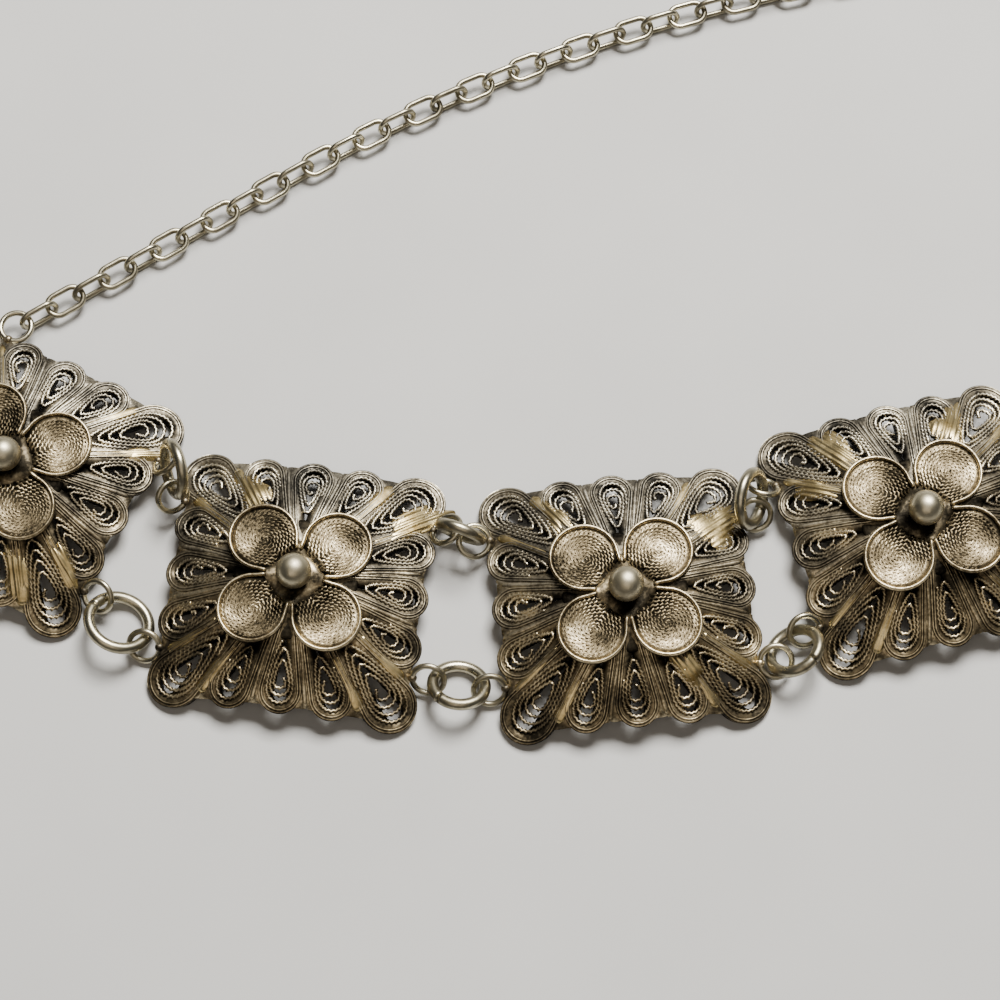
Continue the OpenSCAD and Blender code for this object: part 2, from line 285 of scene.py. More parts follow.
# How far apart the drawn points are, and by how many degrees the wire twists from one to the next.
FINE_TWIST, COARSE_TWIST = (0.09, 46), (0.125, 64)
# Free wire is a little thinner than wire between its neighbours, and its grooves are this bright.
CLOSE_SCALE, FREE_THINNER, FREE_WEAR = 1.06, 0.12, 0.45


def add_rope(work, flat, sink, fine, warmth, low, high, lift=on_dome, free=None):
    """Lays a twisted wire along a flat line, with low wear in its grooves and high on its ridges."""
    step, twist = FINE_TWIST if fine else COARSE_TWIST
    line = evenly(flat if free is None else np.column_stack([flat, free]), step)
    points, ups = lift(line[:, :2], sink)
    free = np.zeros(len(line)) if free is None else line[:, 2]
    verts, quads, height = sweep(points, ups, ROPE, twist, scale=CLOSE_SCALE - FREE_THINNER * free)
    low = low + (FREE_WEAR - low) * np.repeat(free, len(ROPE))
    work.add(verts, quads, low + (high - low) * (0.5 + 0.5 * height / RIDGE_H), warmth)


# %% The coil that fills a petal
TURNS = {"middle": 3.4, "second": 3.4, "corner": 4.6}
FIRST_TURN, POINTS_A_TURN, COIL_GAP = 0.5, 90, 0.06
# Turns stand free from this distance apart, and wholly so when they are this much further apart.
FREE_FROM, FREE_OVER = 0.34, 0.12


def petal_coil(kind, hand, rng):
    """A coil round the petal's eye, and how free it stands from its neighbours."""
    turns, half, eye = TURNS[kind], HALF[kind], EYE[kind] + rng.uniform(-0.2, 0.2)
    tip = TIP_D[kind] + TIP_R[kind] - FRAME_W - COIL_GAP
    side = eye * math.sin(half) - FRAME_W - COIL_GAP
    t = np.linspace(FIRST_TURN, turns, int(turns * POINTS_A_TURN))
    way = hand * 2 * np.pi * t + rng.uniform(-0.6, 0.6)
    share = t / turns * (1 + 0.03 * np.sin(way + rng.uniform(0, 6)))
    # How far the last turn reaches outwards or inwards, and to the side. The first turns take more
    # than their share of the sides, so the last ones lie close there.
    out = np.where(np.cos(way) > 0, tip - eye, eye - START[kind] + 0.3)
    side = side * (0.22 / np.maximum(share, 0.08) + 0.78) * smooth(share / 0.25)
    # A turn is a rounded diamond, fuller at the tip, and it tapers towards the flower.
    blunt = np.sqrt(np.sin(way) ** 2 + np.where(np.cos(way) > 0, 0.02, 0.008))
    taper = np.cos(way) * math.tan(half)
    across = np.where(taper > 0, blunt * (1 - taper), blunt - taper) / side
    power = np.where(taper > 0, 2.1, 2.2)
    full = ((np.abs(np.cos(way)) / out) ** power + across ** power) ** (-1 / power)
    ray = np.column_stack([np.cos(way), np.sin(way)])
    flat = ray * (full * share)[:, None] + [eye, 0]
    ahead = np.gradient(flat, axis=0)
    ahead /= np.linalg.norm(ahead, axis=1)[:, None]
    apart = full / turns * np.abs(ray[:, 0] * ahead[:, 1] - ray[:, 1] * ahead[:, 0])
    return flat, smooth((apart - FREE_FROM) / FREE_OVER)


# %% How far the edges of a petal are from its eye
def to_drop(t, eye, point, centre, radius, inset=0.0):
    """How far a drop's edge is from its eye in the directions t. Its point is towards the flower."""
    half, round_r = math.asin(radius / (centre - point)), radius - inset
    away = eye - centre
    to_cap = -away * np.cos(t) + np.sqrt(np.maximum(round_r**2 - (away * np.sin(t)) ** 2, 1e-6))
    opens = np.abs(np.sin(t)) * math.cos(half) - np.cos(t) * math.sin(half)
    to_side = ((eye - point) * math.sin(half) - inset) / np.maximum(opens, 1e-6)
    on_side = eye + to_side * np.cos(t) < centre - round_r * math.sin(half)
    return np.where(on_side, to_side, to_cap)


def until(reach, meets):
    """The distance along rays to a line that they meet at these sines, or out of reach."""
    return np.where(meets > 1e-3, reach / np.maximum(meets, 1e-3), OUT_OF_REACH)


def to_line(t, eye, degrees):
    """How far the line through the panel's middle in a direction is from the eye."""
    beta = math.radians(degrees)
    return until(eye * abs(math.sin(beta)), np.sin(t - beta) * np.sign(beta))


def to_edge(t, eye, way):
    """How far the straight edge of the web is from the eye, for a petal this far from its normal."""
    way = math.radians(way)
    return until(WEB_X - eye * math.cos(way), np.cos(t + way))


# %% The closed metal of a petal
# From the opening outwards over the top and back underneath: how deep each ring lies, and its wear.
FLOOR_SINK = (0.2, 0.08, 0.08, 0.03, 0.8, 0.8)
FLOOR_WEAR = (0.3, 0.66, 0.66, 0.85, 0.3, 0.0)
# The metal starts this far inside the petal's start, and is at least this wide beside the opening.
FLOOR_STARTS, FLOOR_MIN_W = 0.6, 0.05


def add_floor(work, k, way, warmth):
    """The closed metal of a petal: grey between the rows, brighter in the valleys, dark underneath."""
    kind = kind_of(k)
    eye, tip_d, tip_r = EYE[kind], TIP_D[kind], TIP_R[kind]
    t = np.linspace(-np.pi, np.pi, 72, endpoint=False)
    petal = to_drop(t, eye, 0, tip_d, tip_r)
    edges = [45, -45] if kind == "corner" else [way - 90 * round(way / 90)]
    outline = np.maximum(np.minimum.reduce([to_edge(t, eye, e) for e in edges]), petal)
    valleys = [to_line(t, eye, valley_after(k) - way), to_line(t, eye, valley_after(k - 1) - way)]
    outer = np.minimum.reduce([outline, until(eye - START[kind] + FLOOR_STARTS, -np.cos(t))] + valleys)
    hole = to_drop(t, eye, *OPENING[kind])
    under = np.minimum(to_drop(t, eye, 0, tip_d, tip_r, FRAME_W), outer)
    rings = [hole, np.maximum(under, hole + FLOOR_MIN_W), np.minimum(petal, outer), outer, outer, hole]
    flat = np.vstack([np.column_stack([eye + r * np.cos(t), r * np.sin(t)]) for r in rings])
    points, _ = on_dome(spun(flat, way), np.repeat(FLOOR_SINK, len(t)))
    work.add(points, skin(len(rings), len(t), closed=True), np.repeat(FLOOR_WEAR, len(t)), warmth)


# %% Put a petal together
# The frame's section has two crests with a groove between them. A foot reaches through the plate.
FRAME_CREST, FRAME_GROOVE, FRAME_SHOULDER = 0.05, -0.04, -0.06
FRAME = np.array([[-0.5, -PLATE_T], [0.5, -PLATE_T], [0.5, FRAME_SHOULDER], [0.28, FRAME_CREST],
                  [0.04, FRAME_GROOVE], [-0.04, FRAME_GROOVE], [-0.28, FRAME_CREST],
                  [-0.5, FRAME_SHOULDER]]) * [FRAME_W, 1]
FRAME_STEP, FILLET_STEP, FILLET_T = 0.25, 0.3, 0.26
# How deep the middles of the rows and of the fillets lie under the dome's surface.
ROW_SINK, FILLET_SINK = 0.12, 0.08
# Finishes in the order in which a panel carries them.
OXIDISED, SOLDER, DRAWN, BURNISHED = range(4)


def add_frame(work, kind, way, warmth):
    """The frame of a petal, dark at its foot and in its groove and bright on its crests."""
    points, ups = on_dome(spun(evenly(petal_line(kind, FRAME_W / 2), FRAME_STEP), way))
    verts, quads, height = sweep(points, ups, FRAME)
    work.add(verts, quads, 0.15 + 0.15 * (height > -0.1) + 0.6 * (height > 0), warmth)


def add_fillet(work, k, rng, warmth):
    """Metal in the valley after a petal. Beside the corners it is a wide run of solder."""
    solder = "corner" in (kind_of(k), kind_of(k + 1))
    line = evenly(np.array([[6.4, 0], [10.5, 0]] if solder else [[4.2, 0], [9.2, 0]]), FILLET_STEP)
    share = np.linspace(0, 1, len(line))
    line[:, 1] = 0.05 * np.sin(5 * share + rng.uniform(0, 6))
    points, ups = on_dome(spun(line, valley_after(k)), FILLET_SINK)
    wide = rng.uniform(0.7, 1.15) if solder else 0.4
    swell = 0.45 + 0.55 * share + 0.1 * np.sin(9 * share + k)
    swell = swell * np.sqrt(np.clip(8 * (1.03 - share), 0, 1))
    verts, quads, _ = sweep(points, ups, ring_of(10, wide, FILLET_T), scale=swell)
    work.add(verts, quads, 0.8, warmth, SOLDER if solder else OXIDISED)


def add_petal(work, k, rng, fine):
    """A petal of the plate. Painted shading makes its tone warmer towards the near edge of the panel.
    """
    kind, way = kind_of(k), way_of(k)
    # painted shading: the tone runs from cool on the far side of the dome to warm on its near side
    warmth = 0.1 + 0.55 * (0.5 - 0.5 * math.sin(math.radians(way)))
    add_floor(work, k, way, warmth)
    add_frame(work, kind, way, warmth)
    coil, free = petal_coil(kind, rng.choice([-1, 1]), rng)
    add_rope(work, spun(coil, way), ROW_SINK, fine, warmth, 0.24, 0.95, free=free)
    add_fillet(work, k, rng, warmth)


# %% [markdown]
# ## The flower
# A raised flower of four round petals stands on the plate, its petals on the diagonals. Each petal
# is a dish with a smooth bright rim. It is filled with one long twisted wire coiled from its middle
# outwards. The coil is round at its heart and drawn out to a point towards the ball, so its turns
# stand a little apart there.

# %% Lift a flat drawing on to a flower petal
# How far a petal's middle is from the ball, its radius, and the height and fall of its edge.
FLOWER_D, FLOWER_R, FLOWER_H, FLOWER_FALL = 3.85, 2.6, 4.7, math.radians(4)
# Its outline is round except this far to both sides of the way to the ball, where it runs straight.
SIDE = math.acos(FLOWER_R / FLOWER_D)
# How deep the dish and the throat are, where the throat starts and how soon it is at its deepest.
DISH, THROAT, THROAT_R, THROAT_W = 0.45, 0.5, 2.4, 0.9


def dished(off):
    """How deep a petal is this far from its middle."""
    return DISH * np.clip(1 - (off / FLOWER_R) ** 3, 0, 1)


def in_throat(r):
    """0 on the petals, and 1 beside the ball."""
    return smooth((THROAT_R - r) / THROAT_W)


def on_flower(flat, sink=0):
    """Places on the dished petals, from their plan round the middle of the panel."""
    r = np.hypot(flat[:, 0], flat[:, 1])
    way = (np.degrees(np.arctan2(flat[:, 1], flat[:, 0])) % 90) - 45
    along = r * np.cos(np.radians(way))
    off = np.hypot(along - FLOWER_D, r * np.sin(np.radians(way)))
    z = FLOWER_H - math.sin(FLOWER_FALL) * along - dished(off) - THROAT * in_throat(r) - sink
    return np.column_stack([flat, z]), np.tile([0.0, 0.0, 1.0], (len(flat), 1))


def flower_outline(t, radius, share=1):
    """How far a petal's outline is from its middle, in the directions t."""
    side = np.clip((np.abs(t) - (np.pi - SIDE)) / SIDE, 0, 1)
    drawn = 1 / np.cos(side * SIDE) - 1
    return radius * (1 + drawn * (0.3 + 0.7 * share))


# %% Coil, rim and floor of one flower petal
# The coil's turns, where it starts, how many points draw a turn, and how deep its middle lies.
FLOWER_TURNS, FLOWER_FIRST_TURN, FLOWER_POINTS, FLOWER_SINK = 9.2, 0.3, 80, 0.24
# How far inside the petal's edge the coil, the middle of the rim and the floor end.
COIL_INSET, RIM_INSET, FLOOR_INSET = 0.38, 0.15, 0.2
RIM, RIM_SINK, RIM_STEP = ring_of(8, 0.3, 0.62), 0.3, 0.22
# Where the rims of two petals meet.
RIM_ENDS_R, RIM_ENDS_WAY = 2.1, math.radians(41)
# The floor's rings and steps, and how deep its top and its back lie.
FLOOR_RINGS, FLOOR_STEPS, FLOOR_TOP, FLOOR_BACK = 5, 40, 0.15, 0.5


def add_flower_coil(work, way, rng, fine):
    """The long twisted wire of a flower petal, coiled from its heart outwards."""
    hand = rng.choice([-1, 1])
    t = np.linspace(FLOWER_FIRST_TURN, FLOWER_TURNS, int(FLOWER_TURNS * FLOWER_POINTS))
    angle = hand * 2 * np.pi * t + rng.uniform(0, 6)
    folded = (angle + np.pi) % (2 * np.pi) - np.pi
    share = t / FLOWER_TURNS
    out = flower_outline(folded, FLOWER_R - COIL_INSET, share) * share
    heart = FLOWER_D + 0.15 * (1 - share) * rng.uniform(-1, 1)
    flat = np.column_stack([heart + out * np.cos(angle), out * np.sin(angle)])
    add_rope(work, spun(flat, way), FLOWER_SINK, fine, 1.0, 0.28, 0.73, on_flower)


def add_rim(work, way):
    """The smooth rim of a flower petal. It follows the petal into the throat but not into its dish."""
    rim_r = FLOWER_R - RIM_INSET
    t = np.linspace(-(np.pi - SIDE), np.pi - SIDE, 60)
    rim = FLOWER_D * np.array([1, 0]) + rim_r * np.column_stack([np.cos(t), np.sin(t)])
    end = RIM_ENDS_R * np.array([math.cos(RIM_ENDS_WAY), math.sin(RIM_ENDS_WAY)])
    line = evenly(np.vstack([end * [1, -1], rim, end]), RIM_STEP)
    sink = RIM_SINK - RIM_SINK * in_throat(np.hypot(*line.T))
    points, ups = on_flower(spun(line, way), sink - dished(rim_r))
    verts, quads, height = sweep(points, ups, RIM)
    work.add(verts, quads, np.where(height > 0.1, 0.92, 0.3), 0.75)


def add_flower_floor(work, way):
    """The closed metal under a flower petal's coil, brighter towards the petal's tip."""
    t = np.linspace(-np.pi, np.pi, FLOOR_STEPS, endpoint=False)
    reach = flower_outline(t, FLOWER_R - FLOOR_INSET)
    top = [np.column_stack([FLOWER_D + s * reach * np.cos(t), s * reach * np.sin(t)])
           for s in np.linspace(0.02, 1, FLOOR_RINGS)]
    flat = np.vstack(top + top[::-1])
    sink = np.repeat([FLOOR_TOP] * FLOOR_RINGS + [FLOOR_BACK] * FLOOR_RINGS, FLOOR_STEPS)
    points, _ = on_flower(spun(flat, way), sink)
    wear = 0.6 * smooth((np.hypot(*flat.T) - 2) / 2.2)
    work.add(points, skin(2 * FLOOR_RINGS, FLOOR_STEPS), wear, 0.85)


# %% Saddle of solder where the four petals run together
# Its rings from the ball outwards: the share of the way to the edge, and the wear.
SADDLE = ((0.3, 0.2), (0.5, 0.3), (0.65, 0.45), (0.8, 0.6), (0.9, 0.7), (1.0, 0.6))
SADDLE_STEPS = 72


def add_saddle(work):
    """Solder round the ball. It runs a little way out between the petals and rises there."""
    t = np.linspace(0, 2 * np.pi, SADDLE_STEPS, endpoint=False)
    valley = np.cos(2 * t) ** 6
    rings = []
    for share, _ in SADDLE:
        r = share * (1.9 + 0.9 * valley)
        sink = 0.46 - 0.3 * valley * smooth((r - 1.1) / 1.3) + 0.3 * share**10
        z = FLOWER_H - math.sin(FLOWER_FALL) * r * 0.8 - sink
        rings.append(np.column_stack([r * np.cos(t), r * np.sin(t), z]))
    wear = np.repeat([worn for _, worn in SADDLE], SADDLE_STEPS)
    work.add(np.vstack(rings), skin(len(SADDLE), SADDLE_STEPS), wear, 0.45)


# %% [markdown]
# ## Ball, solder and soldered rings
# A plain ball sits in the throat of the flower. Rings of plain wire are soldered into the notches
# of the left and right edges, each with a lump of solder that has tarnished with the plate, and the
# jump rings hang in them. Clean solder is smooth and pale gold. It fills the valleys beside the
# corner petals, and here and there a flood of it has run out over the rows beside a valley, where
# they still show as faint lumps.

# %% Solder and rings
BALL_D, BALL_H, BLOB_R = 2.6, 5.5, 0.34
PANEL_W, NOTCH_DEPTH = 19.5, 0.55
RING_R, RING_WIRE, RING_Y, RING_H = 1.17, 0.45, 5.7, 1.35
NOTCH_X = PANEL_W / 2 - NOTCH_DEPTH + RING_WIRE / 4
# For each joint: how far the ring on the panel's right edge is pitched and rolled, and then the
# ring on the left edge of the next panel.
UPPER_RINGS = [(-47, -6, -43, 30), (-32, -12, -10, 17), (-1, 36, -26, -36)] + [(-22, 10, -22, 10)] * 3
LOWER_RINGS = [(-11, 41, 10, 40), (-2, 50, 5, 46), (-2, 28, -6, 37)] + [(0, 45, 0, 45)] * 3
# For each panel, its floods: their direction, where they start and end, and how wide they are.
FLOODS = [
    [(33.75, 8.0, 12.2, 1.0), (-57, 6.4, 10.4, 2.0), (-33, 6.8, 10.4, 1.4)],
    [(122.5, 5.9, 10.0, 2.3), (37, 7.6, 12.8, 2.3)],
    [(33.5, 6.8, 11.2, 3.2), (-56.5, 5.8, 8.8, 1.9), (123, 6.2, 9.8, 1.6)],
    [(123, 6.0, 10.8, 2.5), (147, 6.0, 10.2, 1.8), (57, 6.2, 10.0, 2.5)],
    [(-33.75, 7, 10, 1.2)],
    [(56.25, 7.2, 9.8, 1.3)],
    [(-123.75, 7, 10.2, 1.2), (33.75, 8, 10, 1)],
]
# How high the middle of a flood stands, how deep its edge dips, and how far apart the rows are.
FLOOD_RISE, FLOOD_EDGE, ROW_PITCH = 0.1, 0.16, 0.4
FLOOD_GRID, FLOOD_WARMTH = 30, 0.9


def add_flood(work, way, inner, outer, width, rng):
    """A thin pool of solder lying over the wires, with a wavering edge."""
    line = np.linspace(-1, 1, FLOOD_GRID)
    u, v = np.meshgrid(line, line, indexing="ij")
    x, y = u * np.sqrt(1 - v**2 / 2), v * np.sqrt(1 - u**2 / 2)
    far = np.hypot(x, y).ravel()
    t = np.arctan2(y, x)
    waver = 1 + 0.16 * np.sin(3 * t + rng.uniform(0, 6)) + 0.1 * np.sin(5 * t + rng.uniform(0, 6))
    flat = np.column_stack([((inner + outer) / 2 + x * waver * (outer - inner) / 2).ravel(),
                            (y * waver * width / 2).ravel()])
    lumps = 0.03 * np.sin(2 * np.pi / ROW_PITCH * flat[:, 1]) + 0.02 * np.sin(3 * flat[:, 0])
    sink = (FLOOD_EDGE * far**4 - FLOOD_RISE * (1 - far**2)) + lumps
    points, _ = on_dome(spun(flat, way), sink)
    work.add(points, grid(FLOOD_GRID), 0.8, FLOOD_WARMTH, SOLDER)


def add_soldered_ring(work, edge_x, end, pitch, roll, mirrored=False, quarter=False):
    """A ring of drawn wire with its lump of solder, on the right edge, the left or the far one."""
    t = np.linspace(0, 2 * np.pi, 40, endpoint=False)
    flat = np.column_stack([RING_R + RING_R * np.cos(t), RING_R * np.sin(t), 0 * t])
    lean = np.array(Matrix.Rotation(math.radians(pitch), 3, "Y")
                    @ Matrix.Rotation(math.radians(roll), 3, "X"))
    ups = np.tile(lean @ [0, 0, 1], (len(flat), 1))
    ring, ring_quads, _ = sweep(flat @ lean.T, ups, ring_of(10, RING_WIRE, RING_WIRE), closed=True)
    blob, blob_quads = bead((0, 0, 0), (BLOB_R,) * 3, 5)
    for points, quads, finish in ((ring, ring_quads, DRAWN), (blob, blob_quads, OXIDISED)):
        points = points + [edge_x, end * RING_Y, RING_H]
        if mirrored:
            points, quads = points * [-1, 1, 1], quads[:, ::-1]
        if quarter:
            points = points[:, [1, 0, 2]] * [-1, 1, 1]
        work.add(points, quads, 0.7, 0.35, finish)


# %% [markdown]
# ## One panel
# The parts above are soldered together. A small disc under the flower holds the inner ends of all
# the rows. The random numbers that vary the scrolls have a fixed seed for each panel, so every run
# gives the same bracelet.

# %% Solder up a panel
PANELS, FIRST_SEED = len(PANEL_POSES), 40
PETALS, FLOWER_WAYS = 16, (45, 135, 225, 315)
# The disc under the flower.
DISC_R, DISC_T, DISC_H = 4.6, 0.8, 3.55
# How far the rings that carry the clasp are rolled.
CLASP_ROLL = 45


def make_panel(k, materials, fine):
    """Solders a panel together, and returns its number of triangles."""
    rng = np.random.default_rng(FIRST_SEED + k)
    work = Metalwork()
    for petal in range(PETALS):
        add_petal(work, petal, rng, fine)
    for way in FLOWER_WAYS:
        add_flower_coil(work, way, rng, fine)
        add_rim(work, way)
        add_flower_floor(work, way)
    disc, disc_quads = bead((0, 0, DISC_H), (DISC_R, DISC_R, DISC_T / 2), 10)
    work.add(disc, disc_quads, 0.2, 0.4)
    add_saddle(work)
    ball, ball_quads = bead((0, 0, BALL_H), (BALL_D / 2,) * 3, 14)
    work.add(ball, ball_quads, 1.0, 0.4, BURNISHED)
    for flood in FLOODS[k]:
        add_flood(work, *flood, rng)
    for end, table in ((1, UPPER_RINGS), (-1, LOWER_RINGS)):
        right = table[k][:2] if k < PANELS - 1 else (0, -end * CLASP_ROLL)
        left = table[k - 1][2:] if k > 0 else (0, 0)
        add_soldered_ring(work, NOTCH_X, end, *right)
        add_soldered_ring(work, NOTCH_X, end, *left, mirrored=True)
    if k == 0:
        add_soldered_ring(work, NOTCH_X, 1, 0, 0, quarter=True)
    if k == PANELS - 1:
        add_soldered_ring(work, NOTCH_X, -1, 0, 0, quarter=True)
    return work.piece(f"filigree_panel_{k + 1}", f"panel_{k + 1}", "panel_silver",
                      *PANEL_POSES[k], materials)


# %% [markdown]
# ## Finishes
# Old silver grows a skin of dark sulphide. It stays thick between the wires and is rubbed off their
# ridges, which turn a pale straw colour. The colour of each finish therefore starts from the wear
# that is stored on the points, broken up by soft noise so that no two petals match. Silver is a
# metal, so the colour goes into its reflection and metallic is 1. Only the thick tarnish is duller.

# %% Colours and one helper for nodes
def linear(colour):
    """A hex colour as Blender's linear values."""
    parts = [int(colour[i:i + 2], 16) / 255 for i in (1, 3, 5)]
    return [p / 12.92 if p <= 0.04045 else ((p + 0.055) / 1.055) ** 2.4 for p in parts] + [1.0]


def add_node(tree, kind, settings=None, inputs=None):
    """Adds a node. An input is a value, or the output of another node.

    A Map Range has its two ranges in inputs 1 to 4, and a Mix has its colours in 6 and 7.
    """
    made = tree.nodes.new(kind)
    for name, value in (settings or {}).items():
        setattr(made, name, value)
    for name, value in (inputs or {}).items():
        if isinstance(value, bpy.types.NodeSocket):
            tree.links.new(value, made.inputs[name])
        else:
            made.inputs[name].default_value = value
    return made


def new_finish(name):
    """An empty material with its shader and the place on the object."""
    material = bpy.data.materials.new(name)
    material.use_nodes = True
    tree = material.node_tree
    place = add_node(tree, "ShaderNodeTexCoord").outputs["Object"]
    return material, tree, tree.nodes["Principled BSDF"], place


# %% [markdown]
# ### Oxidised silver of the wirework
# The tarnish lies in clouds about 3 mm across, over a grain of about 0.2 mm that the eye reads
# as etched metal. Black sulphide is rough and the bare ridges are smoother, so roughness falls
# with wear.

# %% Oxidised filigree silver
def oxidised_silver():
    """Black in the grooves and straw on the ridges, as the wear on the points says."""
    material, tree, shader, place = new_finish("oxidised_filigree_silver")
    wear = add_node(tree, "ShaderNodeAttribute", {"attribute_name": "wear"}).outputs["Fac"]
    warmth = add_node(tree, "ShaderNodeAttribute", {"attribute_name": "warmth"}).outputs["Fac"]
    clouds = add_node(tree, "ShaderNodeTexNoise", None,
                      {"Vector": place, "Scale": 330.0, "Detail": 4.0, "Roughness": 0.6}).outputs["Fac"]
    grain = add_node(tree, "ShaderNodeTexNoise", None,
                     {"Vector": place, "Scale": 4200.0, "Detail": 2.0}).outputs["Fac"]
    cloudy = add_node(tree, "ShaderNodeMapRange", None,
                      {0: clouds, 1: 0.3, 2: 0.7, 3: -0.34, 4: 0.26}).outputs[0]
    grainy = add_node(tree, "ShaderNodeMapRange", None,
                      {0: grain, 1: 0.3, 2: 0.7, 3: -0.12, 4: 0.12}).outputs[0]
    broken = add_node(tree, "ShaderNodeMath", {"operation": "ADD"}, {0: wear, 1: cloudy}).outputs[0]
    rubbed = add_node(tree, "ShaderNodeMath", {"operation": "ADD", "use_clamp": True},
                      {0: broken, 1: grainy}).outputs[0]
    ramp = add_node(tree, "ShaderNodeValToRGB", None, {0: rubbed})
    stops = [(0.0, "#0b0a09"), (0.36, "#2a2824"), (0.7, "#777165"), (1.0, "#dcd7c8")]
    for k, (at, colour) in enumerate(stops):
        stop = ramp.color_ramp.elements[k] if k < 2 else ramp.color_ramp.elements.new(at)
        stop.position, stop.color = at, linear(colour)
    # The warmth on the points tints the colour: the tarnish's tone, and on the plate's petals also
    # painted shading.
    tinted = add_node(tree, "ShaderNodeMath", {"operation": "MULTIPLY_ADD", "use_clamp": True},
                      {0: clouds, 1: 0.9, 2: warmth})
    tint = add_node(tree, "ShaderNodeMapRange", None, {0: tinted.outputs[0], 1: 0.4, 2: 1.3}).outputs[0]
    shade = add_node(tree, "ShaderNodeMix", {"data_type": "RGBA"},
                     {0: tint, 6: linear("#eef0f2"), 7: linear("#f3dfb2")}).outputs[2]
    colour = add_node(tree, "ShaderNodeMix", {"data_type": "RGBA", "blend_type": "MULTIPLY"},
                      {0: 1.0, 6: ramp.outputs[0], 7: shade}).outputs[2]
    tree.links.new(colour, shader.inputs["Base Color"])
    rough = add_node(tree, "ShaderNodeMapRange", None, {0: rubbed, 3: 0.62, 4: 0.34}).outputs[0]
    tree.links.new(rough, shader.inputs["Roughness"])
    shader.inputs["Metallic"].default_value = 1.0
    bump = add_node(tree, "ShaderNodeBump", None,
                    {"Height": grain, "Strength": 0.35, "Distance": 0.00003})
    tree.links.new(bump.outputs[0], shader.inputs["Normal"])
    return material


# %% [markdown]
# ### Silver solder, drawn wire and the burnished ball
# Solder has less silver in it, so it yellows. It has flowed and set, which leaves a satin skin with
# soft lumps. Drawn wire comes smooth from the plate and shows fine streaks, but years of
# wear have dulled it. The ball has been burnished, and is the brightest thing on the bracelet.

# %% Smooth silver finishes
def smooth_silver(name, pale, dark, roughness, cloud_scale, share_dark, lumps):
    """Pale metal with dark clouds. Its lumps are this high, in metres."""
    material, tree, shader, place = new_finish(name)
    cloud_look = {"Vector": place, "Scale": cloud_scale, "Detail": 5.0, "Roughness": 0.65}
    clouds = add_node(tree, "ShaderNodeTexNoise", None, cloud_look).outputs["Fac"]
    mixed = add_node(tree, "ShaderNodeMapRange", None,
                     {0: clouds, 1: 0.35, 2: 0.68, 3: 0.0, 4: share_dark}).outputs[0]
    colour = add_node(tree, "ShaderNodeMix", {"data_type": "RGBA"},
                      {0: mixed, 6: linear(pale), 7: linear(dark)}).outputs[2]
    tree.links.new(colour, shader.inputs["Base Color"])
    rough = add_node(tree, "ShaderNodeMapRange", None,
                     {0: clouds, 1: 0.3, 2: 0.7, 3: roughness - 0.06, 4: roughness + 0.14}).outputs[0]
    tree.links.new(rough, shader.inputs["Roughness"])
    shader.inputs["Metallic"].default_value = 1.0
    skin_lumps = add_node(tree, "ShaderNodeTexNoise", None,
                          {"Vector": place, "Scale": 1900.0, "Detail": 3.0}).outputs["Fac"]
    bump = add_node(tree, "ShaderNodeBump", None,
                    {"Height": skin_lumps, "Strength": 0.5, "Distance": lumps})
    tree.links.new(bump.outputs[0], shader.inputs["Normal"])
    return material


FINISHES = [
    oxidised_silver(),
    smooth_silver("silver_solder", "#d6c290", "#6a5935", 0.29, 600.0, 1.0, 0.00003),
    smooth_silver("drawn_silver_wire", "#bfb8a0", "#544d3d", 0.28, 420.0, 0.85, 0.00002),
    smooth_silver("burnished_silver_ball", "#bdb59c", "#6f6756", 0.36, 700.0, 0.7, 0.00002),
]
print("finishes:", [m.name for m in FINISHES])

# %% Make the seven panels
# The last two are furthest from the camera, so they are drawn more coarsely.
FINE_PANELS = 5
for k in range(PANELS):
    print(f"panel {k + 1}: {make_panel(k, FINISHES, k < FINE_PANELS)} triangles")

# %% [markdown]
# ## Jump rings
# A jump ring is a turn of round wire, sprung open to hang it and closed again. The two cut ends
# meet in a seam, so each ring here is a sweep that stops just short of a full turn. Two join each
# panel to the next, and two more carry the clasp.

# %% Hang the jump rings
JUMP_WIRE, JUMP_R, SEAM = 0.86, 1.92, 2.4
# For each joint, from its middle: the ring's place, how far it leans and swings, and its radius.
UPPER_JUMPS = [(0.29, 4.38, 3.38, 108.1, 125.9, JUMP_R), (-0.06, 4.48, 2.61, 99.3, -20.5, 1.6),
               (-0.63, 4.8, 2.78, 115.3, -118.2, JUMP_R)] + [(0, 4.7, 2.6, 88, 0, JUMP_R)] * 3
LOWER_JUMPS = [(-0.07, -7.51, 1.47, -26.8, -33, 2.25), (0, -6.89, 1.37, -28, -10.4, JUMP_R),
               (0.2, -6.94, 1.72, -36.6, 40.8, JUMP_R)] + [(0, -6.6, 1.35, -22, 0, JUMP_R)] * 3
# How far the clasp's bar is from the notches, and how far the two rings between them lean.
CLASP_GAP, CLASP_LEAN = 6.95, 22


def make_jump_ring(node, place, angle, row, seam):
    """One jump ring with its cut ends at an angle round it."""
    x, y, z, lean, swing, radius = row
    t = np.radians(seam + np.linspace(SEAM / 2, 360 - SEAM / 2, 60))
    turn = np.array(Matrix.Rotation(math.radians(swing), 3, "Z")
                    @ Matrix.Rotation(math.radians(lean), 3, "X"))
    points = np.column_stack([radius * np.cos(t), radius * np.sin(t), 0 * t]) @ turn.T + [x, y, z]
    ups = np.tile(turn @ [0, 0, 1], (len(points), 1))
    verts, quads, _ = sweep(points, ups, ring_of(14, JUMP_WIRE, JUMP_WIRE))
    work = Metalwork()
    work.add(verts, quads, 0.8, 0.3)
    work.piece("ring_" + node, node, "wire_silver", place, angle, [FINISHES[DRAWN]])


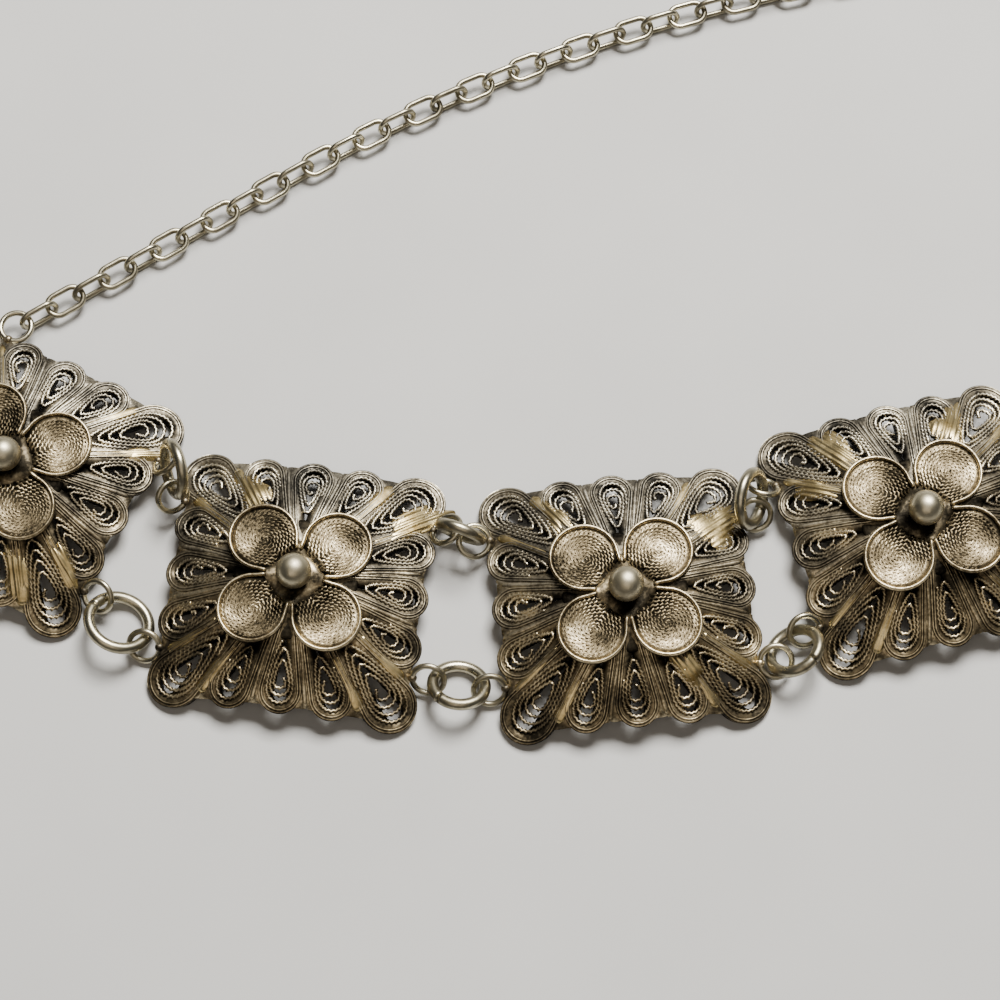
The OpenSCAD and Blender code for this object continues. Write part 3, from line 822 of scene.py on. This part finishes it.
for k in range(PANELS - 1):
    for end, table in (("upper", UPPER_JUMPS), ("lower", LOWER_JUMPS)):
        make_jump_ring(f"jump_{end}_{k + 1}", *JOINT_POSES[k], table[k], 200 + 35 * k)
for end, side in (("upper", 1), ("lower", -1)):
    make_jump_ring(f"jump_clasp_{end}", *PANEL_POSES[-1],
                   (NOTCH_X + CLASP_GAP / 2, side * RING_Y, RING_H, side * CLASP_LEAN, 0, JUMP_R), 250)

# %% [markdown]
# ## Safety chain
# The chain is a plain cable chain. Every other link lies almost flat and the ones between stand
# almost upright, each threaded through its neighbours. It leaves the far edge of the first panel
# at a slant and comes back to the last one, so the bracelet makes a closed loop.

# %% Thread the chain
LINK_L, LINK_W, LINK_WIRE = 3.35, 2.1, 0.45
# The largest distance from link to link, and the play of the end links in the panels' rings.
LINK_STEP, LINK_PLAY = 2.29, 0.2
# How far the links lean from flat, and how much lower than the others the flat ones lie.
FLAT_LEAN, UPRIGHT_LEAN, FLAT_DROP = 12, 80, 0.05
# The chain starts at this slant and ends at the opposite one. It bends from one to the other
# within this share of its length before and after its middle.
CHAIN_SLANT, CHAIN_BEND = 18.5, 0.33
# So many links at each end are lifted, because they hang in the panels' rings.
END_LINKS, END_LIFT = 2, 0.12


def chain_end(k, side):
    """Where a panel's ring on the far edge reaches furthest."""
    place, angle = PANEL_POSES[k]
    return place + turned((-side * RING_Y, NOTCH_X + RING_R), angle)


def heading(share):
    """The chain's direction at a share of its length."""
    return chain_dir + CHAIN_SLANT * max(-1, min(1, (0.5 - share) / CHAIN_BEND))


def onward(count):
    """The directions of so many steps along the chain, and how far they lead along its line."""
    ways = [heading((i + 0.5) / count) for i in range(count)]
    return ways, sum(math.cos(math.radians(way - chain_dir)) for way in ways)


chain_line = chain_end(PANELS - 1, -1) - chain_end(0, 1)
chain_dir = math.degrees(math.atan2(chain_line[1], chain_line[0]))
link_reach = RING_R - (RING_WIRE + LINK_WIRE) / 2 - LINK_PLAY + (LINK_L - LINK_WIRE) / 2
span = float(np.hypot(*chain_line)) - 2 * link_reach * math.cos(math.radians(CHAIN_SLANT))
SLACK_STEPS = 50
slack = SLACK_STEPS / onward(SLACK_STEPS)[1]
LINKS = 2 * math.ceil(span * slack / LINK_STEP / 2) + 1
headings, gained = onward(LINKS - 1)
step = span / gained
spot = chain_end(0, 1) + turned((link_reach, 0), chain_dir + CHAIN_SLANT)
half_w, straight = (LINK_W - LINK_WIRE) / 2, LINK_L - LINK_W
upright_h = half_w * math.sin(math.radians(UPRIGHT_LEAN)) + LINK_WIRE / 2
t = np.linspace(-np.pi / 2, np.pi / 2, 14)
bow = np.column_stack([straight / 2 + half_w * np.cos(t), half_w * np.sin(t), 0 * t])
loop = np.vstack([bow, bow * [-1, -1, 1]])
chain = Metalwork()
for i in range(LINKS):
    upright = i % 2 == 0
    height = upright_h if upright else upright_h - FLAT_DROP
    lift = END_LIFT if min(i, LINKS - 1 - i) < END_LINKS else 0
    turn = np.array(Matrix.Rotation(math.radians(heading(i / (LINKS - 1))), 3, "Z")
                    @ Matrix.Rotation(math.radians(UPRIGHT_LEAN if upright else FLAT_LEAN), 3, "X"))
    points = loop @ turn.T + [spot[0], spot[1], height + lift]
    ups = np.tile(turn @ [0, 0, 1], (len(points), 1))
    verts, quads, _ = sweep(points, ups, ring_of(8, LINK_WIRE, LINK_WIRE), closed=True)
    chain.add(verts, quads, 0.8, 0.4)
    if i < LINKS - 1:
        spot = spot + turned((step, 0), headings[i])
chain.piece("cable_chain", "safety_chain", "wire_silver", (0, 0), 0, [FINISHES[DRAWN]])
print(f"chain of {LINKS} links, {step:.3f} mm apart")

# %% [markdown]
# ## Clasp
# The photographed side doesn't show the clasp, so it is a plain bar with two eyes and two hooks.
# The bar's edges are rounded over, because a sharp edge would catch the light as no hand-filed
# piece does.

# %% Shape the clasp
CLASP_W, CLASP_L, CLASP_T, MIN_CORNER = 4.0, 15.0, 1.6, 0.15
HOOK_R, HOOK_WIRE, HOOK_BEND = 1.4, 0.8, 250
# The rounded edge at the foot of the bar: how far in and how high its outlines lie.
EDGE = [(0.28, 0), (0.08, 0.08), (0, 0.28)]


def bar_outline(inset, z):
    """The bar's outline with round corners, drawn in from its edge."""
    corner = max(CLASP_T / 2 - inset, MIN_CORNER)
    x0, y0 = CLASP_W / 2 - inset - corner, CLASP_L / 2 - inset - corner
    t = np.linspace(0, np.pi / 2, 6)
    arc = np.column_stack([np.cos(t), np.sin(t)]) * corner
    flat = np.vstack([arc + [x0, y0], (arc * [-1, 1])[::-1] + [-x0, y0],
                      arc * [-1, -1] + [-x0, -y0], (arc * [1, -1])[::-1] + [x0, -y0]])
    return np.column_stack([flat, np.full(len(flat), z)])


levels = EDGE + [(inset, CLASP_T - z) for inset, z in reversed(EDGE)]
outlines = [bar_outline(inset, z) for inset, z in levels]
m = len(outlines[0])
walls = skin(len(levels), m)[:, [0, 3, 2, 1]]
quads = np.vstack([walls, lid(m)[:, ::-1], lid(m) + (len(levels) - 1) * m])
clasp_x = NOTCH_X + CLASP_GAP + RING_WIRE / 4 + CLASP_W / 2
clasp = Metalwork()
clasp.add(np.vstack(outlines) + [clasp_x, 0, 0], quads, 0.8, 0.3)
for side in (1, -1):
    t = np.radians(180 + np.linspace(0, HOOK_BEND, 40))
    hook = np.column_stack([HOOK_R * np.cos(t), HOOK_R * np.sin(t), 0 * t])
    hook = (hook + [CLASP_W / 2 + HOOK_R, -RING_Y, CLASP_T / 2]) * [1, side, 1] + [clasp_x, 0, 0]
    ups = np.tile([0.0, 0.0, 1.0], (len(hook), 1))
    verts, quads, _ = sweep(hook, ups, ring_of(12, HOOK_WIRE, HOOK_WIRE))
    clasp.add(verts, quads, 0.8, 0.3)
    eye = Metalwork()
    add_soldered_ring(eye, CLASP_W / 2 + RING_WIRE / 4, side, 0, -side * CLASP_ROLL, mirrored=True)
    for points, quads in zip(eye.points, eye.quads):
        clasp.add(points + [clasp_x, 0, 0], quads - quads.min(), 0.8, 0.3)
clasp.piece("clasp_bar", "clasp", "wire_silver", *PANEL_POSES[-1], [FINISHES[DRAWN]])
print(f"clasp {CLASP_L} mm long, {clasp.count} points")

# %% [markdown]
# ## Table, light and camera
# A plain pale table and one large soft light stand in for the photographer's. The light comes from
# above and behind, a little to the right, because the balls in the photograph carry their highlight
# on the side away from the viewer. A weak front light keeps the shadows open. The camera looks
# down steeply from 20 cm away with a long lens, and is turned so that the row runs as in the
# photograph.

# %% Table
TABLE_W = 3
bpy.ops.mesh.primitive_plane_add(size=TABLE_W, location=(0, 0, 0))
table = bpy.context.object
table.name = "table"
surface, tree, shader, place = new_finish("matt_pale_laminate")
mottle = add_node(tree, "ShaderNodeTexNoise", None,
                  {"Vector": place, "Scale": 60.0, "Detail": 3.0}).outputs["Fac"]
pale = add_node(tree, "ShaderNodeMix", {"data_type": "RGBA"},
                {0: mottle, 6: linear("#b2b2b1"), 7: linear("#bebebd")}).outputs[2]
tree.links.new(pale, shader.inputs["Base Color"])
shader.inputs["Roughness"].default_value = 0.85
table.data.materials.append(surface)

# %% Camera
# Which way the camera looks, how far from the place it looks at it is, and that place.
LOOK_TURN, LOOK_DOWN, DISTANCE = math.radians(13.5), math.radians(70), 0.2004
AIM = Vector((-37.4, -8.2, 0)) * MM
right = Vector((math.cos(LOOK_TURN), -math.sin(LOOK_TURN), 0))
look = Vector((math.sin(LOOK_TURN) * math.cos(LOOK_DOWN), math.cos(LOOK_TURN) * math.cos(LOOK_DOWN),
               -math.sin(LOOK_DOWN)))
above = right.cross(look)
lens = bpy.data.cameras.new("photo_camera")
lens.lens, lens.sensor_width, lens.clip_start = 96.2, 36, 0.01
camera = bpy.data.objects.new("photo_camera", lens)
facing = Matrix((right, above, -look)).transposed().to_4x4()
camera.matrix_world = Matrix.Translation(AIM - look * DISTANCE) @ facing
bpy.context.scene.collection.objects.link(camera)
bpy.context.scene.camera = camera


# %% Lights
def soft_light(name, turn_right, elevation, distance, size, power, colour):
    """A large square lamp aimed at the bracelet, placed as the camera sees it."""
    lamp = bpy.data.lights.new(name, "AREA")
    lamp.size, lamp.energy, lamp.color = size, power, linear(colour)[:3]
    away = LOOK_TURN + math.radians(turn_right)
    e = math.radians(elevation)
    way = Vector((math.sin(away) * math.cos(e), math.cos(away) * math.cos(e), math.sin(e)))
    thing = bpy.data.objects.new(name, lamp)
    thing.location = AIM + way * distance
    thing.rotation_euler = way.to_track_quat("Z", "Y").to_euler()
    bpy.context.scene.collection.objects.link(thing)


soft_light("window", turn_right=20, elevation=57, distance=0.5, size=0.22, power=7.5, colour="#fffcf6")
soft_light("fill", turn_right=185, elevation=62, distance=0.6, size=0.5, power=0.8, colour="#fff0dc")
world = bpy.context.scene.world or bpy.data.worlds.new("room")
bpy.context.scene.world = world
world.use_nodes = True
world.node_tree.nodes["Background"].inputs["Color"].default_value = linear("#8f9194")
world.node_tree.nodes["Background"].inputs["Strength"].default_value = 0.16
